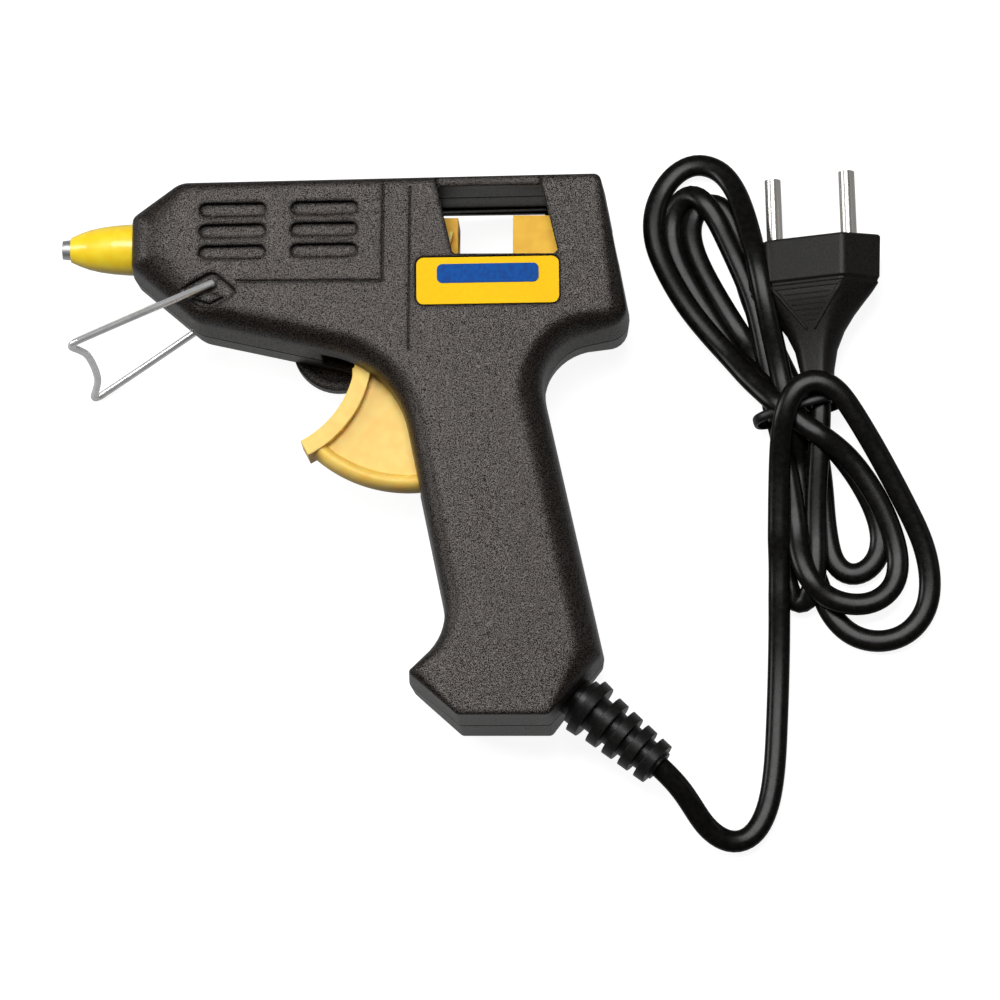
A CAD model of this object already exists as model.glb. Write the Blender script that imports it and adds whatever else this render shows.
import math

import bmesh
import bpy
import numpy as np
from mathutils import Matrix, Vector


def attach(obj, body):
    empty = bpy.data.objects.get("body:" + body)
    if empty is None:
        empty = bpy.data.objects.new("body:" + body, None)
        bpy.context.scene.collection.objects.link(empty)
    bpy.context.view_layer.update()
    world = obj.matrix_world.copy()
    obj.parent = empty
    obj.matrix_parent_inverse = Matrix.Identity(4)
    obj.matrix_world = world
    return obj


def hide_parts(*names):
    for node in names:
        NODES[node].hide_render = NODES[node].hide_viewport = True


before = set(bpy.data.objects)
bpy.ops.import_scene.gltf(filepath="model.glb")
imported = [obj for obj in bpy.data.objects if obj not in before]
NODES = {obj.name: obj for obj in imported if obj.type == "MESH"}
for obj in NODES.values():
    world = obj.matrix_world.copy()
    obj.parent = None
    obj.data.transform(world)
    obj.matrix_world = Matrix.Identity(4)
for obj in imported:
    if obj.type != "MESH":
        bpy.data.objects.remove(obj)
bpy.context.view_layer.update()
MM = 0.001

# ---------- camera: from above, far off, a little to the right of the gun and towards its handle ----------
# Where it is, which way is straight back from its view, and which way is right
CAMERA_AT = (0.2493, -0.3442, 1.4367)
CAMERA_BACK = (0.14636, -0.22999, 0.96212)
CAMERA_RIGHT = (0.98886, 0.00749, -0.14864)
cam_data = bpy.data.cameras.new("camera")
cam_data.lens = 216
cam_data.sensor_width = 36
cam_data.clip_end = 20
camera = bpy.data.objects.new("camera", cam_data)
bpy.context.scene.collection.objects.link(camera)
back = Vector(CAMERA_BACK).normalized()
up = back.cross(Vector(CAMERA_RIGHT)).normalized()
right = up.cross(back)
turned = Matrix((right, up, back)).transposed().to_4x4()
camera.matrix_world = Matrix.Translation(CAMERA_AT) @ turned
bpy.context.scene.camera = camera


# The gun's own frame, laid down as in the CAD: x along the barrel, y up the gun, z out of its left side
LIE = (Matrix.Translation(Vector((-57.6, 59, 28)) * MM) @ Matrix.Rotation(math.radians(6.23), 4, "Y")
       @ Matrix.Rotation(math.radians(0.68), 4, "X"))


# ---------- shader helpers ----------
def material(name, base, rough, metallic=0.0, coat=0.0, spec=0.5, subsurface=0.0, sss_radius=None):
    m = bpy.data.materials.new(name)
    m.use_nodes = True
    b = m.node_tree.nodes["Principled BSDF"]
    b.inputs["Base Color"].default_value = (*base, 1)
    b.inputs["Roughness"].default_value = rough
    b.inputs["Metallic"].default_value = metallic
    if coat:
        b.inputs["Coat Weight"].default_value = coat
        b.inputs["Coat Roughness"].default_value = 0.08
    b.inputs["Specular IOR Level"].default_value = spec
    if subsurface:
        b.inputs["Subsurface Weight"].default_value = subsurface
        b.inputs["Subsurface Scale"].default_value = 0.002
        if sss_radius:
            b.inputs["Subsurface Radius"].default_value = sss_radius
    return m


def node(m, kind, **values):
    n = m.node_tree.nodes.new(kind)
    for key, v in values.items():
        setattr(n, key, v)
    return n


def link(m, a, b):
    m.node_tree.links.new(a, b)


def bsdf(m):
    return m.node_tree.nodes["Principled BSDF"]


def coords(m):
    return node(m, "ShaderNodeTexCoord").outputs["Object"]


def noise(m, scale, detail=3.0, rough=0.55):
    n = node(m, "ShaderNodeTexNoise")
    n.inputs["Scale"].default_value = scale
    n.inputs["Detail"].default_value = detail
    n.inputs["Roughness"].default_value = rough
    link(m, coords(m), n.inputs["Vector"])
    return n.outputs["Fac"]


def ramp(m, fac, stops):
    """Colour ramp between two stops, each a position and a colour"""
    r = node(m, "ShaderNodeValToRGB")
    for el, (pos, col) in zip(r.color_ramp.elements, stops):
        el.position = pos
        el.color = (*col, 1)
    link(m, fac, r.inputs["Fac"])
    return r.outputs["Color"]


def scaled(m, fac, low, high, start=0.0, end=1.0):
    """Maps start..end to low..high"""
    r = node(m, "ShaderNodeMapRange")
    r.inputs["From Min"].default_value = start
    r.inputs["From Max"].default_value = end
    r.inputs["To Min"].default_value = low
    r.inputs["To Max"].default_value = high
    link(m, fac, r.inputs["Value"])
    return r.outputs["Result"]


def times(m, a, b):
    n = node(m, "ShaderNodeMath", operation="MULTIPLY")
    link(m, a, n.inputs[0])
    link(m, b, n.inputs[1])
    return n.outputs[0]


def tinted(m, colour, shade, amount):
    """Multiplies a colour by a shade"""
    mixer = node(m, "ShaderNodeMix", data_type="RGBA", blend_type="MULTIPLY")
    mixer.inputs[0].default_value = amount
    link(m, colour, mixer.inputs[6])
    link(m, shade, mixer.inputs[7])
    return mixer.outputs[2]


def rounded(m, radius, samples):
    """Normal as if the sharp edges were rounded with this radius in metres"""
    n = node(m, "ShaderNodeBevel", samples=samples)
    n.inputs["Radius"].default_value = radius
    return n.outputs["Normal"]


def bump(m, height, depth, edge):
    """Relief of this depth, over edges that look rounded; both in metres"""
    b = node(m, "ShaderNodeBump")
    b.inputs["Distance"].default_value = depth
    b.inputs["Strength"].default_value = 1.0
    link(m, height, b.inputs["Height"])
    if edge:
        link(m, rounded(m, edge, 4), b.inputs["Normal"])
    link(m, b.outputs["Normal"], bsdf(m).inputs["Normal"])


def plastic(name, dark, light, rough, grain, depth, edge=0.0002, spread=(0.35, 0.65), rough_spread=0.06,
            **kw):
    """Moulded plastic: fine grain in colour, roughness and relief, over broad faint patches"""
    m = material(name, dark, rough, **kw)
    fine = noise(m, grain, 1.0, 0.6)
    broad = noise(m, 60.0)
    col = ramp(m, fine, [(spread[0], dark), (spread[1], light)])
    patches = ramp(m, broad, [(0.3, (0.75, 0.75, 0.75)), (0.7, (1, 1, 1))])
    link(m, tinted(m, col, patches, 0.25), bsdf(m).inputs["Base Color"])
    link(m, scaled(m, fine, rough - rough_spread, rough + rough_spread), bsdf(m).inputs["Roughness"])
    bump(m, fine, depth, edge)
    return m


def from_plane(m, place, axis):
    """Distance in metres from the plane through place with this axis"""
    away = node(m, "ShaderNodeVectorMath", operation="SUBTRACT")
    away.inputs[1].default_value = place
    link(m, coords(m), away.inputs[0])
    along = node(m, "ShaderNodeVectorMath", operation="DOT_PRODUCT")
    along.inputs[1].default_value = axis
    link(m, away.outputs[0], along.inputs[0])
    distance = node(m, "ShaderNodeMath", operation="ABSOLUTE")
    link(m, along.outputs["Value"], distance.inputs[0])
    return distance.outputs[0]


def edge_angle(m, radius):
    """Cosine between the true normal and one with rounded edges: 1 on flat faces, less near edges"""
    true_normal = node(m, "ShaderNodeNewGeometry").outputs["Normal"]
    cosine = node(m, "ShaderNodeVectorMath", operation="DOT_PRODUCT")
    link(m, rounded(m, radius, 6), cosine.inputs[0])
    link(m, true_normal, cosine.inputs[1])
    return cosine.outputs["Value"]


# The housing's grain as a noise scale per metre, and half the width of its parting line in metres
GRAIN = 3700.0
SEAM_HALF = 0.0005


def housing_plastic():
    """Black textured plastic: sparkling grain, darker edges and grooves, a dark line where the shells meet"""
    m = plastic("textured_black_plastic", (0.002, 0.0016, 0.0013), (0.024, 0.018, 0.015), 0.38, GRAIN,
                0.00007, edge=0.0018, spread=(0.4, 0.66), rough_spread=0.1)
    seam_distance = from_plane(m, LIE.translation, LIE.to_3x3().col[2])
    seam = scaled(m, seam_distance, 0.1, 1.0, SEAM_HALF * 0.6, SEAM_HALF)
    edges = scaled(m, edge_angle(m, 0.0006), 0.25, 1.0, 0.93, 0.995)
    dark = times(m, edges, seam)
    colour = bsdf(m).inputs["Base Color"].links[0].from_socket
    link(m, tinted(m, colour, dark, 1.0), bsdf(m).inputs["Base Color"])
    sparkle = scaled(m, noise(m, GRAIN, 1.0, 0.6), 0.05, 0.68, 0.38, 0.64)
    link(m, times(m, dark, sparkle), bsdf(m).inputs["Specular IOR Level"])
    bsdf(m).inputs["Specular Tint"].default_value = (1.0, 0.93, 0.88, 1)
    return m


MAT = {
    "housing": housing_plastic(),
    "cord": plastic("cord_sheath", (0.0025, 0.0023, 0.002), (0.005, 0.0046, 0.004), 0.26, 700.0, 0.000004,
                    edge=0, spec=0.16),
    "plug": plastic("plug_moulding", (0.003, 0.0026, 0.0023), (0.012, 0.01, 0.009), 0.4, 2200.0, 0.00003,
                    edge=0.0004, spec=0.2),
    "relief": plastic("strain_relief_rubber", (0.004, 0.0037, 0.0035), (0.01, 0.009, 0.0085), 0.36, 1800.0,
                      0.00001, edge=0.0005, spec=0.3),
    "tie": plastic("tie_plastic", (0.003, 0.003, 0.003), (0.006, 0.006, 0.006), 0.36, 900.0, 0.00001,
                   edge=0.0003, spec=0.25),
    "sleeve": plastic("yellow_silicone", (0.98, 0.66, 0.016), (1.0, 0.74, 0.03), 0.34, 300.0, 0.000004,
                      edge=0.0003, coat=0.35),
    "trigger": plastic("amber_trigger_plastic", (1.0, 0.62, 0.12), (1.0, 0.7, 0.17), 0.42, 260.0, 0.000006,
                       edge=0.0005, spec=0.3, subsurface=0.35, sss_radius=(1.0, 0.45, 0.08)),
    "carriage": plastic("carriage_plastic", (0.86, 0.46, 0.03), (0.93, 0.54, 0.045), 0.45, 300.0, 0.000006,
                        edge=0.0004, spec=0.15),
    "label_yellow": plastic("label_yellow_print", (0.98, 0.57, 0.0), (1.0, 0.6, 0.001), 0.5, 900.0, 0.000002,
                            edge=0, spec=0.08),
    "label_blue": plastic("label_blue_print", (0.0, 0.055, 0.27), (0.0, 0.08, 0.36), 0.5, 900.0, 0.000002,
                          edge=0, spec=0.08),
    "red_silicone": plastic("red_silicone", (0.5, 0.07, 0.03), (0.58, 0.09, 0.04), 0.45, 300.0, 0.00001),
    "ceramic": plastic("fired_ceramic", (0.6, 0.58, 0.54), (0.72, 0.7, 0.66), 0.75, 900.0, 0.00002),
    "film": plastic("amber_film", (0.45, 0.2, 0.03), (0.55, 0.26, 0.04), 0.25, 300.0, 0.000003),
    "brown_wire": plastic("brown_insulation", (0.12, 0.05, 0.02), (0.16, 0.07, 0.03), 0.35, 500.0, 0.000003,
                          edge=0),
    "blue_wire": plastic("blue_insulation", (0.02, 0.09, 0.3), (0.03, 0.12, 0.36), 0.35, 500.0, 0.000003,
                         edge=0),
}


def metal(name, base, rough, scale, depth, stretch=(1, 1, 1), edge=0.0002, metallic=1.0):
    """Metal with a fine drawn, turned or cast grain; stretch draws the grain out"""
    m = material(name, base, rough, metallic=metallic)
    mapping = node(m, "ShaderNodeMapping")
    mapping.inputs["Scale"].default_value = stretch
    link(m, coords(m), mapping.inputs["Vector"])
    n = node(m, "ShaderNodeTexNoise")
    n.inputs["Scale"].default_value = scale
    n.inputs["Detail"].default_value = 4
    link(m, mapping.outputs["Vector"], n.inputs["Vector"])
    link(m, scaled(m, n.outputs["Fac"], rough * 0.7, rough * 1.35), bsdf(m).inputs["Roughness"])
    low = tuple(c * 0.82 for c in base)
    link(m, ramp(m, n.outputs["Fac"], [(0.3, low), (0.7, base)]), bsdf(m).inputs["Base Color"])
    bump(m, n.outputs["Fac"], depth, edge)
    return m


MAT["wire"] = metal("bright_plated_wire", (0.95, 0.95, 0.95), 0.25, 240.0, 0.000004, edge=0, metallic=0.72)
MAT["pin"] = metal("plated_pin", (0.5, 0.48, 0.45), 0.27, 300.0, 0.000004, stretch=(1, 0.1, 1), edge=0,
                   metallic=0.85)
MAT["nozzle"] = metal("turned_aluminium", (0.6, 0.6, 0.61), 0.45, 1400.0, 0.00003, stretch=(4, 1, 1))
MAT["cast"] = metal("cast_aluminium", (0.55, 0.56, 0.58), 0.5, 500.0, 0.00003)
MAT["steel"] = metal("pressed_steel", (0.6, 0.6, 0.62), 0.35, 400.0, 0.000008)
MAT["brass"] = metal("brass_strip", (0.78, 0.58, 0.28), 0.35, 400.0, 0.000008)

# Which of the CAD's nodes wear which material
PAINT = {
    "housing": ["left_shell", "right_shell", "cord_clamp"],
    "label_yellow": ["label_plate"],
    "label_blue": ["label_panel"],
    "nozzle": ["nozzle"],
    "sleeve": ["nozzle_sleeve"],
    "steel": ["valve_ball", "valve_spring", "heater_clamp", "sleeve_clip", "trigger_pin", "grip_jaw",
              "jaw_pin", "clamp_screws", "case_screws", "trigger_spring"],
    "cast": ["melt_chamber"],
    "ceramic": ["ptc_heater"],
    "brass": ["electrode_inner", "electrode_outer", "crimps"],
    "film": ["insulator_film"],
    "red_silicone": ["inlet_sleeve"],
    "trigger": ["trigger"],
    "carriage": ["carriage"],
    "wire": ["wire_stand"],
    "brown_wire": ["lead_live"],
    "blue_wire": ["lead_neutral"],
    "relief": ["strain_relief"],
    "cord": ["mains_lead", "hank_upper", "hank_lower"],
    "tie": ["cord_tie"],
    "plug": ["plug_body"],
    "pin": ["plug_pins"],
}


def smooth_group():
    """Geometry nodes: weld, then smooth shading except across edges sharper than 32 degrees"""
    g = bpy.data.node_groups.new("smooth_by_angle", "GeometryNodeTree")
    g.interface.new_socket("Geometry", in_out="INPUT", socket_type="NodeSocketGeometry")
    g.interface.new_socket("Geometry", in_out="OUTPUT", socket_type="NodeSocketGeometry")
    a = g.nodes.new("NodeGroupInput")
    z = g.nodes.new("NodeGroupOutput")
    weld = g.nodes.new("GeometryNodeMergeByDistance")
    weld.inputs["Distance"].default_value = 2e-6
    angle = g.nodes.new("GeometryNodeInputMeshEdgeAngle")
    sharper = g.nodes.new("FunctionNodeCompare")
    sharper.operation = "GREATER_THAN"
    sharper.inputs[1].default_value = math.radians(32)
    faces = g.nodes.new("GeometryNodeSetShadeSmooth")
    edges = g.nodes.new("GeometryNodeStoreNamedAttribute")
    edges.data_type = "BOOLEAN"
    edges.domain = "EDGE"
    edges.inputs["Name"].default_value = "sharp_edge"
    g.links.new(a.outputs[0], weld.inputs["Geometry"])
    g.links.new(weld.outputs["Geometry"], faces.inputs["Geometry"])
    g.links.new(faces.outputs["Geometry"], edges.inputs["Geometry"])
    g.links.new(angle.outputs["Unsigned Angle"], sharper.inputs[0])
    g.links.new(sharper.outputs[0], edges.inputs["Value"])
    g.links.new(edges.outputs["Geometry"], z.inputs[0])
    return g


SMOOTH = smooth_group()


def smooth_by_angle(o):
    """Smooth shading with sharp edges, and the larger faces leading, so that flat faces look flat"""
    o.modifiers.new("smooth", "NODES").node_group = SMOOTH
    w = o.modifiers.new("weighted", "WEIGHTED_NORMAL")
    w.keep_sharp = True
    w.weight = 80


for key, names in PAINT.items():
    for n in names:
        o = NODES[n]
        o.data.materials.clear()
        o.data.materials.append(MAT[key])
        smooth_by_angle(o)


# ---------- geometry helpers ----------
def mesh_object(name, verts, faces, mat, smooth=True, angle=False):
    me = bpy.data.meshes.new(name)
    me.from_pydata([tuple(v) for v in verts], [], faces)
    me.validate()
    bm = bmesh.new()
    bm.from_mesh(me)
    bmesh.ops.recalc_face_normals(bm, faces=bm.faces)
    bm.to_mesh(me)
    bm.free()
    me.polygons.foreach_set("use_smooth", [smooth] * len(me.polygons))
    o = bpy.data.objects.new(name, me)
    bpy.context.scene.collection.objects.link(o)
    o.data.materials.append(mat)
    if angle:
        smooth_by_angle(o)
    return o


def catmull(points, per):
    """A smooth curve through the points, with this many steps between each two"""
    p = [np.array(q, float) for q in points]
    out = []
    for i in range(len(p) - 1):
        a, b, c, d = p[max(i - 1, 0)], p[i], p[i + 1], p[min(i + 2, len(p) - 1)]
        for j in range(per):
            t = j / per
            square = (2 * a - 5 * b + 4 * c - d) * t**2
            cube = (3 * b - a - 3 * c + d) * t**3
            out.append(0.5 * (2 * b + (c - a) * t + square + cube))
    out.append(p[-1])
    return np.array(out)


def resample(points, step):
    """The same curve with its points about step apart"""
    seg = np.linalg.norm(np.diff(points, axis=0), axis=1)
    s = np.concatenate([[0], np.cumsum(seg)])
    n = max(2, int(round(s[-1] / step)) + 1)
    q = np.linspace(0, s[-1], n)
    return np.stack([np.interp(q, s, points[:, k]) for k in range(points.shape[1])], 1)


def tube(name, path, section, mat, up=(0, 0, 1), closed=False):
    """Sweeps a flat section [(across, over)] along a path in metres; up is one direction, or one per point"""
    path = np.array(path, float)
    n = len(path)
    m = len(section)
    verts = []
    faces = []
    for i in range(n):
        if closed:
            t = path[(i + 1) % n] - path[(i - 1) % n]
        else:
            t = path[min(i + 1, n - 1)] - path[max(i - 1, 0)]
        t = t / np.linalg.norm(t)
        u = np.array(up[i] if np.ndim(up) == 2 else up, float)
        side = np.cross(u, t)
        side /= np.linalg.norm(side)
        over = np.cross(t, side)
        for a, b in section:
            verts.append(path[i] + side * a + over * b)
    rings = n if closed else n - 1
    for i in range(rings):
        a = i * m
        b = ((i + 1) % n) * m
        for k in range(m):
            faces.append((a + k, a + (k + 1) % m, b + (k + 1) % m, b + k))
    if not closed:
        faces.append(tuple(range(m - 1, -1, -1)))
        faces.append(tuple((n - 1) * m + k for k in range(m)))
    return mesh_object(name, verts, faces, mat)


def squared(v, power):
    """A sine or cosine pushed outwards by a power below 1, which squares the circle"""
    return math.copysign(abs(v) ** power, v)


def ellipse(a, b, n=20, power=1.0):
    """Points round an ellipse with these half axes; a power below 1 squares it"""
    turns = [2 * math.pi * (k + 0.5) / n for k in range(n)]
    return [(a * squared(math.cos(q), power), b * squared(math.sin(q), power)) for q in turns]


# ---------- the mains lead, its tie and its plug ----------
# Width and thickness of the flat lead, in mm
LEAD_W = 5.4
LEAD_T = 3.3
# The route in mm: the CAD lead's points, a little higher where it crosses the hank, then the hank's turns
LEAD = [
    (64.8, -65, 13.2), (70.4, -69.7, 12.5), (73.7, -72.6, 12), (77.4, -76.6, 10.7), (80.1, -80.9, 8.4),
    (82.8, -85.3, 5.2), (86.8, -88.6, 2.6), (90.8, -89.3, 1.8), (94.8, -86.8, 1.8), (97.8, -80.3, 1.8),
    (99.3, -71.3, 1.8), (100, -59.3, 1.8), (100.6, -43.3, 2.2), (101, -28.3, 4.2), (101.2, -16.3, 5.4),
    (101.4, -4.3, 7.6), (102, 7.7, 11.2),
    # over the tie and round the largest lower loop
    (103.4, 16.2, 15), (105.8, 21.9, 16), (109.4, 24.3, 16), (112.8, 24.1, 15.5), (116.4, 21.7, 14.5),
    (119.8, 16.7, 12.5), (125.8, 6.3, 9), (132.1, -6, 6), (136.3, -15.3, 3.5), (138, -24.3, 2),
    (136.8, -32.3, 1.8), (131.8, -38.1, 1.8), (124.5, -39.7, 1.8), (117.6, -37.3, 1.8),
    (112.4, -30.8, 1.8), (109, -20.3, 1.8), (106.4, -5.3, 2), (104.8, 7.7, 4), (103.4, 17.7, 5.4),
    # over the side of the plug and round the largest upper loop
    (101.4, 29.7, 8), (99.4, 39.7, 12), (97.6, 49.7, 14), (95.4, 59.7, 12.5), (93, 68.7, 8),
    (90.2, 76.1, 4.5), (86.2, 81.7, 3), (79.6, 83.9, 2), (73.4, 80.1, 1.8), (69.8, 72.2, 1.8),
    (69.8, 63.7, 2.4), (72.8, 55.7, 4), (77.8, 46.7, 5.4), (83.4, 39.2, 5.6), (89.4, 32.1, 5.6),
    (95.2, 25.1, 7), (102.3, 18.3, 9.2), (109.8, 12.3, 9.2),
    # second lower loop
    (117.4, 6.9, 7.6), (123.4, -0.9, 6), (127.8, -9.7, 4.6), (130.4, -19.3, 3.4), (129.2, -26.7, 4.4),
    (123.4, -30.9, 5.4), (115.2, -30.3, 5.4), (109.2, -25.7, 5.4), (106, -17.3, 5.4), (104.6, -4.3, 5),
    (102.4, 9.7, 4), (99.8, 19.7, 3),
    # second upper loop
    (98, 30.7, 2.4), (96.2, 41.7, 2.4), (93, 51.7, 2.4), (88.6, 62.2, 2.4), (84.2, 71.1, 2),
    (79.4, 76.1, 1.8), (74.6, 72.7, 1.8), (73.6, 65.2, 1.8), (75.6, 58.1, 1.8), (79.8, 50.3, 1.8),
    (85, 41.7, 1.8), (90.8, 33.3, 1.8), (97.4, 25.1, 3), (104.8, 18.1, 5.6),
    # third lower loop
    (113.2, 10.7, 5.8), (119.8, 2.3, 4.6), (124.6, -6.9, 2.4), (126.2, -14.7, 1.8), (124, -20.7, 1.8),
    (118.6, -23.3, 1.8), (114, -19.7, 1.8), (112.2, -10.3, 1.8), (111.4, 0.7, 1.8), (109.8, 11.7, 1.8),
    (106.2, 21.3, 1.8),
    # third upper loop, under the others
    (100.8, 32.7, 1.8), (95.6, 43.7, 1.8), (92.2, 53.7, 1.8), (90.4, 63.3, 1.8), (88, 71.3, 1.8),
    (83.6, 74.3, 1.8), (79.2, 71.3, 1.8), (78.6, 64.3, 1.8), (81.8, 55.7, 1.8), (87.4, 45.3, 1.8),
    (93.4, 35.1, 1.8), (98.4, 25.7, 1.8), (101.4, 15.7, 1.8),
    # last short loop and up to the plug
    (102.4, 1.7, 1.8), (102, -10.3, 1.8), (102, -20.3, 1.8), (103.4, -28.3, 1.8), (106.8, -30.7, 1.8),
    (109.6, -26.3, 1.8), (110, -16.3, 3.6), (110.2, -4.3, 5.4), (111, 7.7, 7.4), (111.6, 17.7, 8.6),
    (111.5, 25.7, 8.4), (110.9, 31.7, 8.6),
]


# How far apart the lead's points are, in mm, and the clear width and height between two turns
SPACING = 2.6
CLEAR_W = LEAD_W * 0.94
CLEAR_T = LEAD_T * 1.04


def settle(points, rounds=260):
    """Lets the turns rest on each other: points nearer than the lead is thick move apart, mostly in height"""
    p = resample(catmull(points, 8), SPACING)
    home = p.copy()
    n = len(p)
    i, j = np.triu_indices(n, 4)
    for _ in range(rounds):
        # pairs that are too close, with gap below 1, push each other apart
        d = p[j] - p[i]
        near = (np.abs(d[:, 0]) < 6) & (np.abs(d[:, 1]) < 6) & (np.abs(d[:, 2]) < 4)
        flat = np.hypot(d[:, 0], d[:, 1])
        gap = np.hypot(flat / CLEAR_W, np.abs(d[:, 2]) / CLEAR_T)
        close = near & (gap < 1)
        a = i[close]
        b = j[close]
        apart = d[close]
        push = (1 - gap[close]) * 0.45
        sign = np.where(apart[:, 2] >= 0, 1.0, -1.0)
        move = np.zeros_like(p)
        count = np.zeros(n)
        side = apart[:, :2] / np.maximum(flat[close], 0.3)[:, None]
        vec = np.column_stack([side * push[:, None] * 0.5, sign * push * LEAD_T * 0.9])
        np.add.at(move, b, vec)
        np.add.at(move, a, -vec)
        np.add.at(count, a, 1)
        np.add.at(count, b, 1)
        p += move / np.maximum(count, 1)[:, None]
        # a pull back towards the route, then evening out along the lead
        p[:, :2] += (home[:, :2] - p[:, :2]) * 0.06
        p[:, 2] += (home[:, 2] - p[:, 2]) * 0.02
        lap = np.zeros_like(p)
        lap[1:-1] = (p[2:] + p[:-2]) / 2 - p[1:-1]
        p[1:-1, :2] += 0.1 * lap[1:-1, :2]
        p[1:-1, 2] += 0.35 * lap[1:-1, 2]
        # both ends stay, and nothing sinks into the table
        p[:4] = home[:4]
        p[-3:] = home[-3:]
        p[:, 2] = np.maximum(p[:, 2], LEAD_T / 2 + 0.05)
    return p


lead_path = settle(LEAD) * MM
lead_section = ellipse(LEAD_W / 2 * MM, LEAD_T / 2 * MM, 20, 0.82)
lead = tube("mains_lead_flex", catmull(lead_path, 2), lead_section, MAT["cord"])
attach(lead, "housing")
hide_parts("mains_lead", "hank_upper", "hank_lower")

# Plug, in its own frame: y along the pins, x across them
PLUG_AT = (109.8, 60.6, 8.7)
PLUG_YAW = 2
PLUG_ROLL = 10
plug_frame = (Matrix.Translation(Vector(PLUG_AT) * MM) @ Matrix.Rotation(math.radians(PLUG_YAW), 4, "Z")
              @ Matrix.Rotation(math.radians(-PLUG_ROLL), 4, "Y"))
# Each section is distance along the pins, half width, half width of the flat, half depth, in mm
PLUG_SECTIONS = [
    (0, 17.5, 9.5, 6.2), (-0.5, 17.9, 9.8, 6.6), (-10.6, 17.3, 9.5, 6.8), (-11.2, 16.9, 9.1, 6.35),
    (-11.7, 16.7, 9.1, 6.35), (-12.2, 16.9, 9.2, 6.7), (-14.4, 15.6, 8.5, 6.6), (-17, 13.2, 7.3, 6.1),
    (-19.8, 10.7, 6.1, 5.5), (-23.5, 8.0, 4.7, 4.7), (-28, 5.8, 3.5, 4.0), (-33, 4.7, 2.9, 3.5),
    (-40.6, 4.1, 2.5, 3.2), (-41.0, 3.8, 2.2, 2.9),
]


def hexagon(w, f, h, r):
    """Long hexagon with rounded corners: half width w, half flat f, half depth h"""
    pts = [(w, 0), (f, h), (-f, h), (-w, 0), (-f, -h), (f, -h)]
    out = []
    for k in range(6):
        before, b, after = (Vector(pts[(k + s) % 6]) for s in (-1, 0, 1))
        t = min(r, (before - b).length * 0.4, (after - b).length * 0.4)
        p = b + (before - b).normalized() * t
        q = b + (after - b).normalized() * t
        for s in (0, 0.25, 0.5, 0.75, 1):
            out.append(tuple(p * (1 - s) ** 2 + b * 2 * s * (1 - s) + q * s**2))
    return out


def loft(rings):
    """Vertices and faces of a closed skin over rings that all have the same number of points"""
    m = len(rings[0])
    verts = [v for ring in rings for v in ring]
    faces = []
    for i in range(len(rings) - 1):
        for k in range(m):
            a = i * m + k
            b = i * m + (k + 1) % m
            faces.append((a, b, b + m, a + m))
    faces.append(tuple(range(m - 1, -1, -1)))
    faces.append(tuple((len(rings) - 1) * m + k for k in range(m)))
    return verts, faces


# The corners are tighter on the plug's head than on its grip
HEAD_END = -12.5
plug_rings = []
for y, w, f, h in PLUG_SECTIONS:
    outline = hexagon(w, f, h, 1.1 if y > HEAD_END else 2.4)
    plug_rings.append([plug_frame @ (Vector((x, y, z)) * MM) for x, z in outline])
plug = mesh_object("plug_moulding", *loft(plug_rings), MAT["plug"], angle=True)
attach(plug, "housing")
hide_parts("plug_body")


def flat_z(y):
    """Half depth of the plug at this distance along it"""
    for (y0, _, _, h0), (y1, _, _, h1) in zip(PLUG_SECTIONS, PLUG_SECTIONS[1:]):
        if y1 <= y <= y0:
            return h0 + (h1 - h0) * (y - y0) / (y1 - y0)
    return PLUG_SECTIONS[-1][3]


def ridge(verts, faces, side, start, end, width, rise, steps=6):
    """Adds a low ridge with a bevelled top that follows the plug's flat side from start to end"""
    a = Vector(start)
    b = Vector(end)
    across = (b - a).normalized().orthogonal() * width / 2
    rings = []
    for i in range(steps + 1):
        mid = a.lerp(b, i / steps)
        ring = []
        for k, lift in ((-1, -0.3), (-0.55, rise), (0.55, rise), (1, -0.3)):
            x, y = mid + across * k
            ring.append(plug_frame @ (Vector((x, y, side * (flat_z(y) + lift))) * MM))
        rings.append(ring)
    new_verts, new_faces = loft(rings)
    faces.extend(tuple(len(verts) + v for v in face) for face in new_faces)
    verts.extend(new_verts)


# Distances along the plug and half widths, in mm
BAR_AT = -13
BAR_HALF = 8.6
V_END = -23.4
RIB_HALF = 7.0


def plug_grip(name, side):
    """A raised V under a bar, with faint ribs inside it, on one flat side of the plug"""
    verts = []
    faces = []
    for end in (-1, 1):
        ridge(verts, faces, side, (end * BAR_HALF, BAR_AT), (end * 0.9, V_END), 1.1, 0.32)
    ridge(verts, faces, side, (-BAR_HALF, BAR_AT), (BAR_HALF, BAR_AT), 0.8, 0.3)
    for r in range(6):
        y = BAR_AT - 1.6 - r * 1.3
        half = RIB_HALF * (1 + (y - BAR_AT) / 10.6)
        ridge(verts, faces, side, (-half, y), (half, y), 0.6, 0.1)
    grip = mesh_object(name, verts, faces, MAT["plug"], smooth=False)
    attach(grip, "housing")


plug_grip("plug_grip_upper", 1)
plug_grip("plug_grip_lower", -1)

# Tie: a soft band round the bundle, in mm
TIE_AT = Vector((107.1, 18.7, 6.1))
TIE_TURN = math.radians(15)
TIE_HALF_W = 12.2
TIE_HALF_H = 5.9
tie_axis = Vector((math.cos(TIE_TURN), math.sin(TIE_TURN), 0))
TIE_STEPS = 72
tie_spokes = []
for k in range(TIE_STEPS):
    q = 2 * math.pi * k / TIE_STEPS
    tie_spokes.append(tie_axis * TIE_HALF_W * squared(math.cos(q), 0.8)
                      + Vector((0, 0, TIE_HALF_H * squared(math.sin(q), 0.8))))
tie = tube("tie_band", [tuple((TIE_AT + v) * MM) for v in tie_spokes], ellipse(1.25 * MM, 0.55 * MM, 12, 0.8),
           MAT["tie"], up=[tuple(v) for v in tie_spokes], closed=True)
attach(tie, "housing")
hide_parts("cord_tie")


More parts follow.
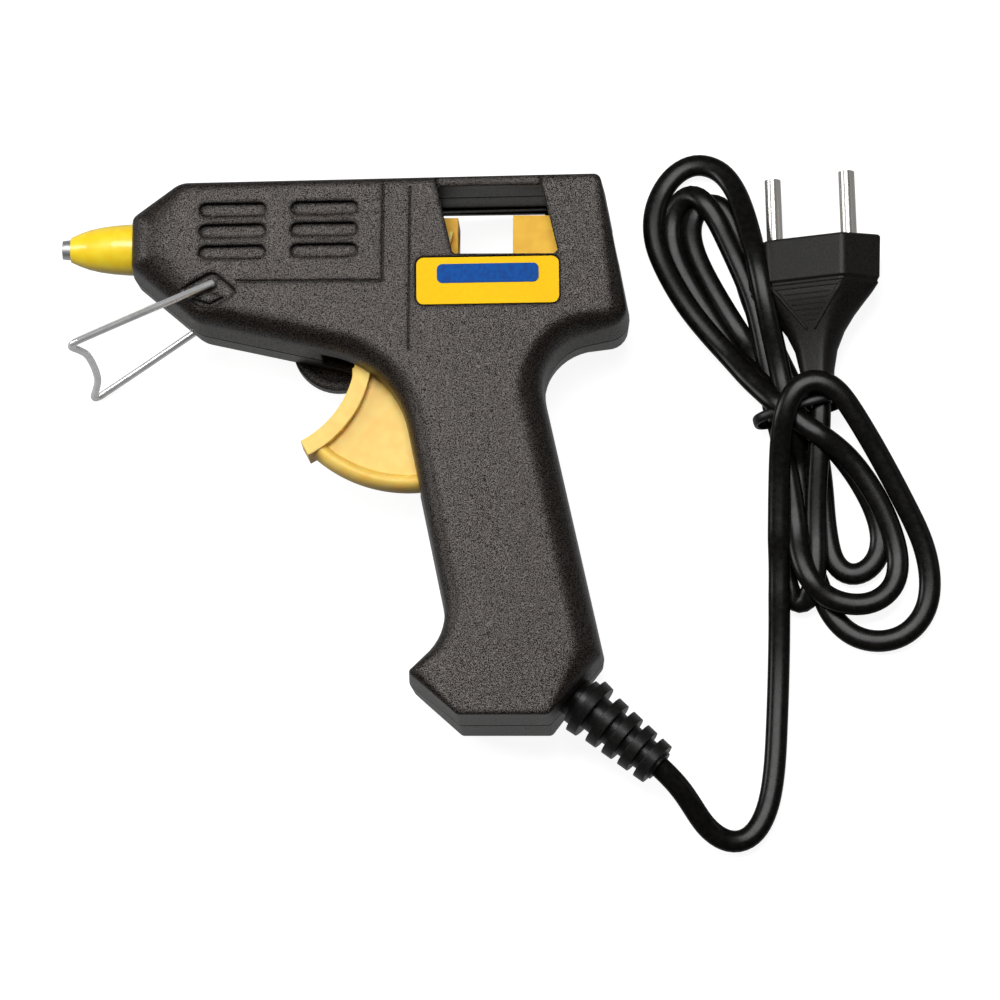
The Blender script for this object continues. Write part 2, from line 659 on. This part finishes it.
# ---------- wire stand, in the gun's own frame ----------
def gun(x, y, z):
    """A point given in mm in the gun's own frame, as it lies on the table"""
    return LIE @ (Vector((x, y, z)) * MM)


# Half the gun's thickness, the pivot, the leg from the pivot to the foot, and half the foot's width, in mm
HALF_T = 15
STAND_AT = Vector((21, -12.5))
STAND_LEG = Vector((-33, -18.75))
STAND_HALF = 30
WIRE_R = 0.9
# One half of the wire from its end in the pivot: the share of the leg, and mm from the gun's middle plane
half_way = [(0, HALF_T - 2.4), (0, HALF_T - 1.2), (0.003, HALF_T - 0.1), (0.03, HALF_T + 0.5),
            (0.3, HALF_T + 4.4), (0.6, 23.6), (0.92, STAND_HALF - 2.3), (0.965, STAND_HALF - 1.9),
            (0.993, STAND_HALF - 2.5), (1, STAND_HALF - 3.8), (0.995, STAND_HALF - 5.5),
            (0.96, STAND_HALF - 11), (0.93, STAND_HALF - 18)]
whole_way = half_way + [(0.92, 0)] + [(s, -z) for s, z in reversed(half_way)]
stand_points = [(*(STAND_AT + s * STAND_LEG), z) for s, z in whole_way]
stand_path = [tuple(gun(*p)) for p in catmull(stand_points, 8)]
out_of_stand = LIE.to_3x3() @ Vector((*STAND_LEG, 0)).cross(Vector((0, 0, 1)))
stand = tube("wire_stand_bent", stand_path, ellipse(WIRE_R * MM, WIRE_R * MM, 20), MAT["wire"],
             up=tuple(out_of_stand.normalized()))
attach(stand, "stand")
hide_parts("wire_stand")


# ---------- stage and light ----------
def glowing_sheet(name, base, glow, z):
    """A wide flat sheet at height z that gives off its own light"""
    m = material(name + "_paper", (base, base, base), 0.8)
    bsdf(m).inputs["Emission Color"].default_value = (1, 1, 1, 1)
    bsdf(m).inputs["Emission Strength"].default_value = glow
    corners = [(-3, -3, z), (3, -3, z), (3, 3, z), (-3, 3, z)]
    return mesh_object(name, corners, [(0, 1, 2, 3)], m, smooth=False)


# The floor that shows, and just above it one that shows only in reflections
floor = glowing_sheet("floor", 0.25, 0.9, -0.0005)
floor.visible_glossy = False
floor.visible_diffuse = False
bounce = glowing_sheet("bounce", 0.1, 0.36, -0.0004)
bounce.visible_camera = False
bounce.visible_diffuse = False
bounce.visible_shadow = False

world = bpy.data.worlds.new("studio")
world.use_nodes = True
world.node_tree.nodes["Background"].inputs["Color"].default_value = (1, 1, 1, 1)
world.node_tree.nodes["Background"].inputs["Strength"].default_value = 0.1
bpy.context.scene.world = world


def area(name, place, aim, size, power, size_y):
    """A soft rectangular light at place, turned towards aim"""
    d = bpy.data.lights.new(name, "AREA")
    d.energy = power
    d.shape = "RECTANGLE"
    d.size = size
    d.size_y = size_y
    o = bpy.data.objects.new(name, d)
    bpy.context.scene.collection.objects.link(o)
    o.location = place
    o.rotation_euler = (Vector(aim) - Vector(place)).to_track_quat("-Z", "Y").to_euler()


area("overhead", (0.03, 0.32, 1.25), (0.0, 0, 0), 0.7, 13.0, 0.5)
area("left", (-1.0, 0.25, 0.75), (0.0, 0, 0), 0.35, 7.0, 0.7)
area("right", (1.1, 0.3, 0.5), (0.05, 0, 0), 0.3, 0.5, 0.7)

scene = bpy.context.scene
scene.view_settings.view_transform = "Standard"
scene.view_settings.look = "None"
scene.view_settings.exposure = 0.0
scene.view_settings.gamma = 1.0
